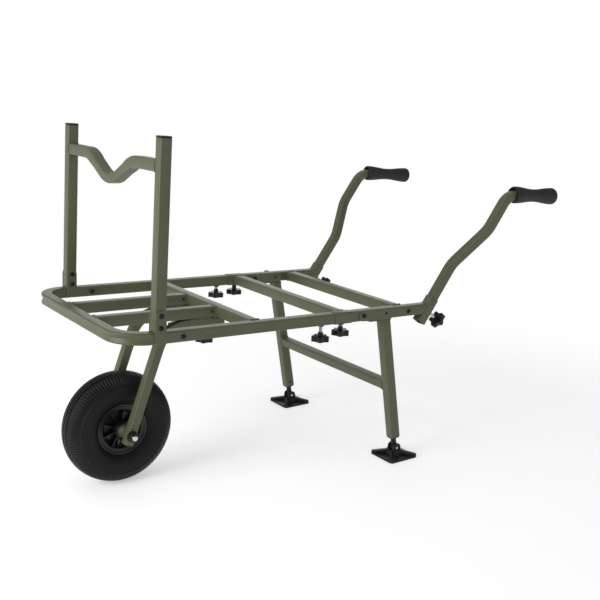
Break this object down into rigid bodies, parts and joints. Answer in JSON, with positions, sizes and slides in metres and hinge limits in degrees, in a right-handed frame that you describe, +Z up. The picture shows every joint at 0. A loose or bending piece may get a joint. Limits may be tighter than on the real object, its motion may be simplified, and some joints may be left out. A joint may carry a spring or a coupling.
{
  "type": "fishing trolley",
  "caption": "Single-wheel fishing trolley: extending square-tube deck, fold-down front gate with V rest, folding legs with tilting feet, pull-out handles",
  "frame": {"origin": "On the ground, at the middle of the bounding box's bottom face", "axes": "+X runs back from the wheel to the handles, +Y to the right-hand side of whoever pushes it, +Z up; the deck falls 2.19 degrees toward the handles"},
  "size_m": [1.2178, 0.6276, 0.8041],
  "materials": {
    "olive_powder_coat": "satin olive-green powder coat over welded square steel tube",
    "black_plastic": "moulded black plastic, fine satin texture",
    "tyre_rubber": "black pneumatic tyre rubber with moulded tread",
    "grip_foam": "dense black foam, finely porous and matt",
    "black_steel": "black-finished steel fasteners with a low sheen",
    "bright_steel": "bright zinc-plated steel"
  },
  "bodies": {
    "rear_frame": {"rear_rail_left": "olive_powder_coat", "rear_rail_right": "olive_powder_coat", "crossbar_middle": "olive_powder_coat", "crossbar_rear": "olive_powder_coat", "rail_bolt_left": "black_steel", "rail_bolt_right": "black_steel", "leg_bolt_left": "black_steel", "leg_bolt_right": "black_steel"},
    "inner_tubes": {"inner_tube_left": "bright_steel", "inner_tube_right": "bright_steel"},
    "front_frame": {"front_loop": "olive_powder_coat", "crossbar_front": "olive_powder_coat", "long_bar_left": "olive_powder_coat", "long_bar_right": "olive_powder_coat", "gate_bolt_left": "black_steel", "gate_bolt_right": "black_steel"},
    "gate": {"post_left": "olive_powder_coat", "post_right": "olive_powder_coat", "post_cap_left": "black_plastic", "post_cap_right": "black_plastic", "corner_plate_outer_left": "olive_powder_coat", "corner_plate_outer_right": "olive_powder_coat", "corner_plate_inner_left": "olive_powder_coat", "corner_plate_inner_right": "olive_powder_coat", "rest_bar": "olive_powder_coat"},
    "fork": {"fork_arm_left": "olive_powder_coat", "fork_arm_right": "olive_powder_coat", "fork_strip_left": "black_plastic", "fork_strip_right": "black_plastic", "axle_spacer_left": "olive_powder_coat", "axle_spacer_right": "olive_powder_coat", "axle_bolt": "bright_steel", "axle_nut": "black_steel"},
    "wheel": {"tyre": "tyre_rubber", "wheel_rim": "black_plastic", "valve_stem": "bright_steel", "wheel_bearing_left": "bright_steel", "wheel_bearing_right": "bright_steel"},
    "leg_frame": {"leg_left": "olive_powder_coat", "leg_right": "olive_powder_coat", "leg_bracket_left": "olive_powder_coat", "leg_bracket_right": "olive_powder_coat", "foot_stem_left": "black_plastic", "foot_stem_right": "black_plastic", "leg_tie_bar": "olive_powder_coat"},
    "lock_plunger": {"lock_plunger": "black_steel"},
    "foot_left": {"foot_left": "black_plastic"},
    "handle_left": {"handle_left": "olive_powder_coat", "grip_left": "grip_foam"},
    "foot_right": {"foot_right": "black_plastic"},
    "handle_right": {"handle_right": "olive_powder_coat", "grip_right": "grip_foam"},
    "knob_front_left": {"knob_front_left": "black_plastic"},
    "knob_front_right": {"knob_front_right": "black_plastic"},
    "knob_rear_left": {"knob_rear_left": "black_plastic"},
    "knob_rear_right": {"knob_rear_right": "black_plastic"},
    "knob_fork_left": {"knob_fork_left": "black_plastic"},
    "knob_fork_right": {"knob_fork_right": "black_plastic"},
    "knob_handle_left": {"knob_handle_left": "black_plastic"},
    "knob_handle_right": {"knob_handle_right": "black_plastic"}
  },
  "joints": [
    {"name": "rear_telescope", "type": "slide", "parent": "rear_frame", "child": "inner_tubes", "axis": [-0.9993, 0, 0.0382], "range_m": [0, 0.04]},
    {"name": "front_telescope", "type": "slide", "parent": "inner_tubes", "child": "front_frame", "axis": [-0.9993, 0, 0.0382], "range_m": [0, 0.18]},
    {"name": "gate_fold", "type": "hinge", "parent": "front_frame", "child": "gate", "pos_m": [-0.43902, 0, 0.39767], "axis": [0, 1, 0], "range_deg": [0, 90]},
    {"name": "fork_adjust", "type": "slide", "parent": "front_frame", "child": "fork", "axis": [-0.9993, 0, 0.0382], "range_m": [0, 0.035]},
    {"name": "wheel_spin", "type": "hinge", "parent": "fork", "child": "wheel", "pos_m": [-0.47897, 0, 0.13], "axis": [0, 1, 0], "continuous": true},
    {"name": "leg_fold", "type": "hinge", "parent": "rear_frame", "child": "leg_frame", "pos_m": [0.03068, 0, 0.38071], "axis": [0, 1, 0], "range_deg": [0, 90]},
    {"name": "leg_lock", "type": "slide", "parent": "leg_frame", "child": "lock_plunger", "axis": [0, 1, 0], "range_m": [-0.007, 0]},
    {"name": "foot_tilt_left", "type": "hinge", "parent": "leg_frame", "child": "foot_left", "pos_m": [0.15661, -0.23482, 0.023], "axis": [0, 1, 0], "range_deg": [-20, 20]},
    {"name": "handle_slide_left", "type": "slide", "parent": "rear_frame", "child": "handle_left", "axis": [0.5975, 0, 0.8019], "range_m": [0, 0.018]},
    {"name": "knob_front_turn_left", "type": "hinge", "parent": "front_frame", "child": "knob_front_left", "pos_m": [-0.0826, -0.241, 0.34951], "axis": [-0.0382, 0, -0.9993], "continuous": true},
    {"name": "knob_rear_turn_left", "type": "hinge", "parent": "rear_frame", "child": "knob_rear_left", "pos_m": [-0.02629, -0.241, 0.35637], "axis": [-0.0382, 0, -0.9993], "continuous": true},
    {"name": "knob_fork_turn_left", "type": "hinge", "parent": "front_frame", "child": "knob_fork_left", "pos_m": [-0.28881, -0.07, 0.33739], "axis": [-0.0382, 0, -0.9993], "continuous": true},
    {"name": "knob_handle_turn_left", "type": "hinge", "parent": "rear_frame", "child": "knob_handle_left", "pos_m": [0.26583, -0.241, 0.34304], "axis": [0.8019, 0, -0.5975], "continuous": true},
    {"name": "foot_tilt_right", "type": "hinge", "parent": "leg_frame", "child": "foot_right", "pos_m": [0.15661, 0.23482, 0.023], "axis": [0, 1, 0], "range_deg": [-20, 20]},
    {"name": "handle_slide_right", "type": "slide", "parent": "rear_frame", "child": "handle_right", "axis": [0.5975, 0, 0.8019], "range_m": [0, 0.018]},
    {"name": "knob_front_turn_right", "type": "hinge", "parent": "front_frame", "child": "knob_front_right", "pos_m": [-0.08233, 0.241, 0.35651], "axis": [-0.0382, 0, -0.9993], "continuous": true},
    {"name": "knob_rear_turn_right", "type": "hinge", "parent": "rear_frame", "child": "knob_rear_right", "pos_m": [-0.02622, 0.241, 0.35837], "axis": [-0.0382, 0, -0.9993], "continuous": true},
    {"name": "knob_fork_turn_right", "type": "hinge", "parent": "front_frame", "child": "knob_fork_right", "pos_m": [-0.28881, 0.07, 0.33739], "axis": [-0.0382, 0, -0.9993], "continuous": true},
    {"name": "knob_handle_turn_right", "type": "hinge", "parent": "rear_frame", "child": "knob_handle_right", "pos_m": [0.26583, 0.241, 0.34304], "axis": [0.8019, 0, -0.5975], "continuous": true}
  ]
}
